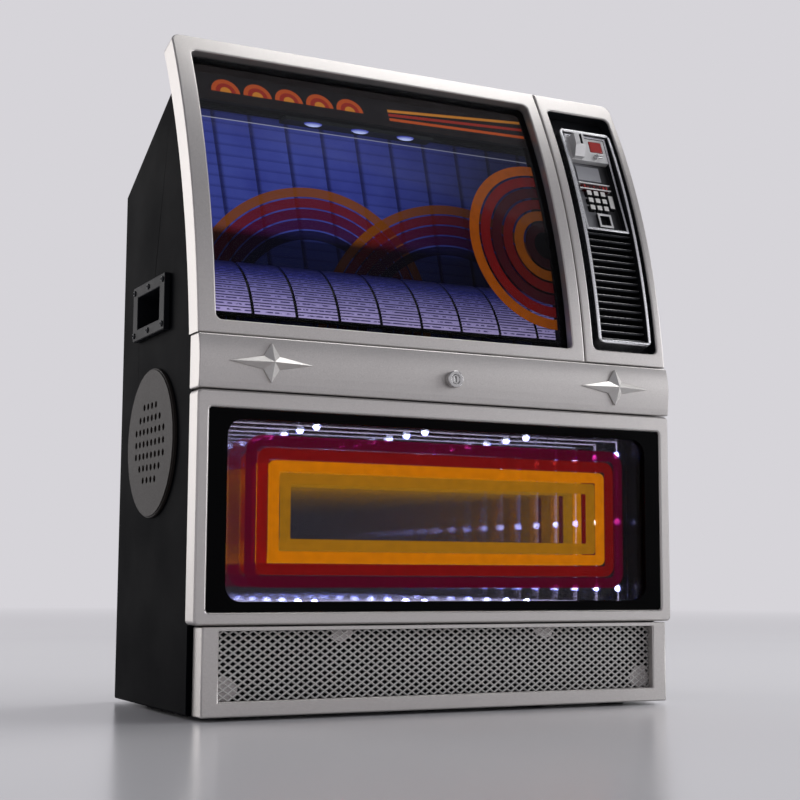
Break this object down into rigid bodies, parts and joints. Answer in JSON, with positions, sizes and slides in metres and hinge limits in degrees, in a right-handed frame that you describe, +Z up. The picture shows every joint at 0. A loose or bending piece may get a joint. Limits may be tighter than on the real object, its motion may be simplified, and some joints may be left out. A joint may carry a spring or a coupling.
{
  "type": "jukebox speaker",
  "caption": "Jukebox-shaped table speaker: curved silver front, lidded title display, key panel, mirror tunnel, mesh plinth, speakers and handles in the sides.",
  "frame": {"origin": "On the floor, under the middle of the object's width and depth.", "axes": "+X to the object's right seen from the front, +Y to the back, +Z up."},
  "size_m": [0.171, 0.0852, 0.2145],
  "materials": {
    "silver_paint": "satin",
    "black_cabinet": "satin",
    "black_plastic": "matte",
    "base_black": "matte",
    "dark_screws": "satin",
    "foot_rubber": "matte",
    "mesh_silver": "satin",
    "mask_black": "gloss",
    "smoked_glass": "clear",
    "printed_stripe": "satin",
    "half_mirror": "polished",
    "clear_acrylic": "clear",
    "lamp_white": "lit",
    "mirror_silver": "polished",
    "ornament_chrome": "satin",
    "lock_steel": "brushed",
    "clear_glass": "clear",
    "header_card": "printed",
    "charcoal": "satin",
    "bezel_chrome": "polished",
    "coin_silver": "satin",
    "button_red": "gloss",
    "display_red": "lit",
    "key_white": "satin",
    "louvre_grey": "satin",
    "title_card": "printed",
    "lit_panel": "printed",
    "handle_black": "satin",
    "grille_bronze": "satin",
    "driver_dark": "matte",
    "cone_paper": "matte",
    "board_green": "satin",
    "battery_wrap": "satin",
    "socket_steel": "satin"
  },
  "bodies": {
    "cabinet": {"left_side_panel": "black_cabinet", "right_side_panel": "black_cabinet", "base_board": "base_black", "sloped_top_panel": "black_cabinet", "back_cover": "black_plastic", "fasteners": "dark_screws", "feet": "foot_rubber", "plinth_frame": "silver_paint", "plinth_mesh": "mesh_silver", "lower_door_frame": "silver_paint", "tunnel_mask": "mask_black", "tunnel_glass": "smoked_glass", "tunnel_stripes": "printed_stripe", "half_mirror": "half_mirror", "light_guide": "clear_acrylic", "leds": "lamp_white", "tunnel_mirror": "mirror_silver", "tunnel_box": "black_plastic", "centre_band": "silver_paint", "star_ornaments": "ornament_chrome", "lock_barrel": "lock_steel", "selector_frame": "silver_paint", "selector_backplate": "charcoal", "selector_bezel": "bezel_chrome", "selector_pan": "charcoal", "coin_plate": "coin_silver", "coin_entry": "bezel_chrome", "price_display": "display_red", "return_cup": "bezel_chrome", "louvre_grille": "louvre_grey", "display_box": "black_plastic", "title_rack": "black_plastic", "title_cards": "title_card", "rear_panel": "lit_panel", "handle_plates": "handle_black", "speaker_grilles": "grille_bronze", "speaker_drivers": "driver_dark", "circuit_boards": "board_green", "battery_pack": "battery_wrap", "usb_port": "socket_steel"},
    "lid": {"window_frame": "silver_paint", "window_glass": "clear_glass", "window_liner": "black_plastic", "header_panel": "header_card"},
    "lock_plug": {"lock_plug": "lock_steel"},
    "reject_button": {"reject_button": "button_red"},
    "return_lever": {"return_lever": "lock_steel"},
    "tall_key": {"tall_key": "key_white"},
    "left_cone": {"left_cone": "cone_paper"},
    "right_cone": {"right_cone": "cone_paper"},
    "power_button": {"power_button": "socket_steel"},
    "key_1": {"key_1": "key_white"},
    "key_2": {"key_2": "key_white"},
    "key_3": {"key_3": "key_white"},
    "key_4": {"key_4": "key_white"},
    "key_5": {"key_5": "key_white"},
    "key_6": {"key_6": "key_white"},
    "key_7": {"key_7": "key_white"},
    "key_8": {"key_8": "key_white"},
    "key_9": {"key_9": "key_white"}
  },
  "joints": [
    {"name": "lid_hinge", "type": "hinge", "parent": "cabinet", "child": "lid", "pos_m": [0, -0.00037, 0.1988], "axis": [-1, 0, 0], "range_deg": [0, 55]},
    {"name": "lock_turn", "type": "hinge", "parent": "cabinet", "child": "lock_plug", "pos_m": [0, -0.0394, 0.1036], "axis": [0, 1, 0], "range_deg": [0, 90]},
    {"name": "reject_press", "type": "slide", "parent": "cabinet", "child": "reject_button", "axis": [0, 0.9313, -0.3644], "range_m": [0, 0.0006], "stiffness_N_per_m": 300},
    {"name": "lever_swing", "type": "hinge", "parent": "cabinet", "child": "return_lever", "pos_m": [0.07085, -0.01604, 0.19078], "axis": [0, 0.9313, -0.3644], "range_deg": [-25, 25], "stiffness_Nm_per_rad": 0.0004},
    {"name": "tall_key_press", "type": "slide", "parent": "cabinet", "child": "tall_key", "axis": [0, 0.9313, -0.3644], "range_m": [0, 0.0006], "stiffness_N_per_m": 200},
    {"name": "left_cone_stroke", "type": "slide", "parent": "cabinet", "child": "left_cone", "axis": [-1, 0, 0], "range_m": [-0.0008, 0.0008], "stiffness_N_per_m": 1500},
    {"name": "right_cone_stroke", "type": "slide", "parent": "cabinet", "child": "right_cone", "axis": [1, 0, 0], "range_m": [-0.0008, 0.0008], "stiffness_N_per_m": 1500},
    {"name": "power_press", "type": "slide", "parent": "cabinet", "child": "power_button", "axis": [0, -1, 0], "range_m": [0, 0.0008], "stiffness_N_per_m": 300},
    {"name": "key_1_press", "type": "slide", "parent": "cabinet", "child": "key_1", "axis": [0, 0.9313, -0.3644], "range_m": [0, 0.0006], "stiffness_N_per_m": 200},
    {"name": "key_2_press", "type": "slide", "parent": "cabinet", "child": "key_2", "axis": [0, 0.9313, -0.3644], "range_m": [0, 0.0006], "stiffness_N_per_m": 200},
    {"name": "key_3_press", "type": "slide", "parent": "cabinet", "child": "key_3", "axis": [0, 0.9313, -0.3644], "range_m": [0, 0.0006], "stiffness_N_per_m": 200},
    {"name": "key_4_press", "type": "slide", "parent": "cabinet", "child": "key_4", "axis": [0, 0.9313, -0.3644], "range_m": [0, 0.0006], "stiffness_N_per_m": 200},
    {"name": "key_5_press", "type": "slide", "parent": "cabinet", "child": "key_5", "axis": [0, 0.9313, -0.3644], "range_m": [0, 0.0006], "stiffness_N_per_m": 200},
    {"name": "key_6_press", "type": "slide", "parent": "cabinet", "child": "key_6", "axis": [0, 0.9313, -0.3644], "range_m": [0, 0.0006], "stiffness_N_per_m": 200},
    {"name": "key_7_press", "type": "slide", "parent": "cabinet", "child": "key_7", "axis": [0, 0.9313, -0.3644], "range_m": [0, 0.0006], "stiffness_N_per_m": 200},
    {"name": "key_8_press", "type": "slide", "parent": "cabinet", "child": "key_8", "axis": [0, 0.9313, -0.3644], "range_m": [0, 0.0006], "stiffness_N_per_m": 200},
    {"name": "key_9_press", "type": "slide", "parent": "cabinet", "child": "key_9", "axis": [0, 0.9313, -0.3644], "range_m": [0, 0.0006], "stiffness_N_per_m": 200}
  ]
}
